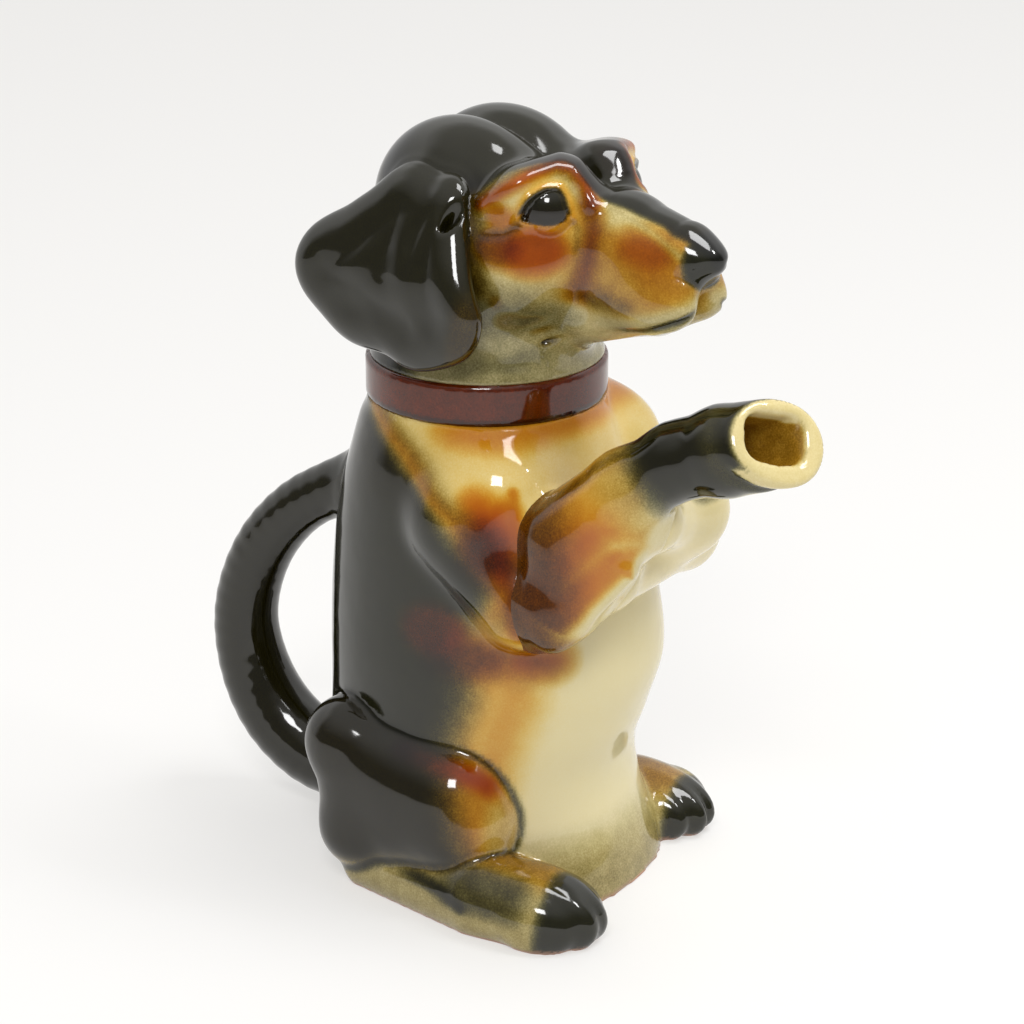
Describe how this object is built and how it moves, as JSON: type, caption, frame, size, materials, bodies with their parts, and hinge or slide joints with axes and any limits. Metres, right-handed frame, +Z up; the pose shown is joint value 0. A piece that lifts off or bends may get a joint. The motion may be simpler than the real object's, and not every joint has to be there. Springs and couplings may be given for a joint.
{
  "type": "dog teapot",
  "caption": "Glazed pottery teapot in the form of a dachshund sitting up and begging: lift-off head lid, right forepaw spout, looped tail handle and collar band.",
  "frame": {"origin": "on the flat base, under the axis of the pot's mouth and collar", "axes": "+Z up along the axis of the mouth, -Y the way the dog's chest faces, +X the dog's left side"},
  "size_m": [0.0978, 0.179, 0.1955],
  "materials": {
    "body_glaze": "glossy airbrushed glaze, black back fading through orange-brown to a pale cream belly",
    "collar_glaze": "glossy dark red-brown glaze",
    "spout_glaze": "glossy glaze, orange-brown forearm, black paw and cream rim",
    "foreleg_glaze": "glossy pale cream glaze",
    "tail_glaze": "glossy black glaze",
    "head_glaze": "glossy airbrushed glaze, black skull, orange-brown brow and cheek, cream jaw",
    "ear_glaze": "glossy black glaze"
  },
  "bodies": {
    "pot": {"pot_body": "body_glaze", "collar": "collar_glaze", "spout_foreleg": "spout_glaze", "left_foreleg": "foreleg_glaze", "tail_handle": "tail_glaze"},
    "lid": {"head_lid": "head_glaze", "right_ear": "ear_glaze", "left_ear": "ear_glaze"}
  },
  "joints": [
    {"name": "lid_lift", "type": "slide", "parent": "pot", "child": "lid", "axis": [0, 0, 1], "range_m": [0, 0.08]}
  ]
}
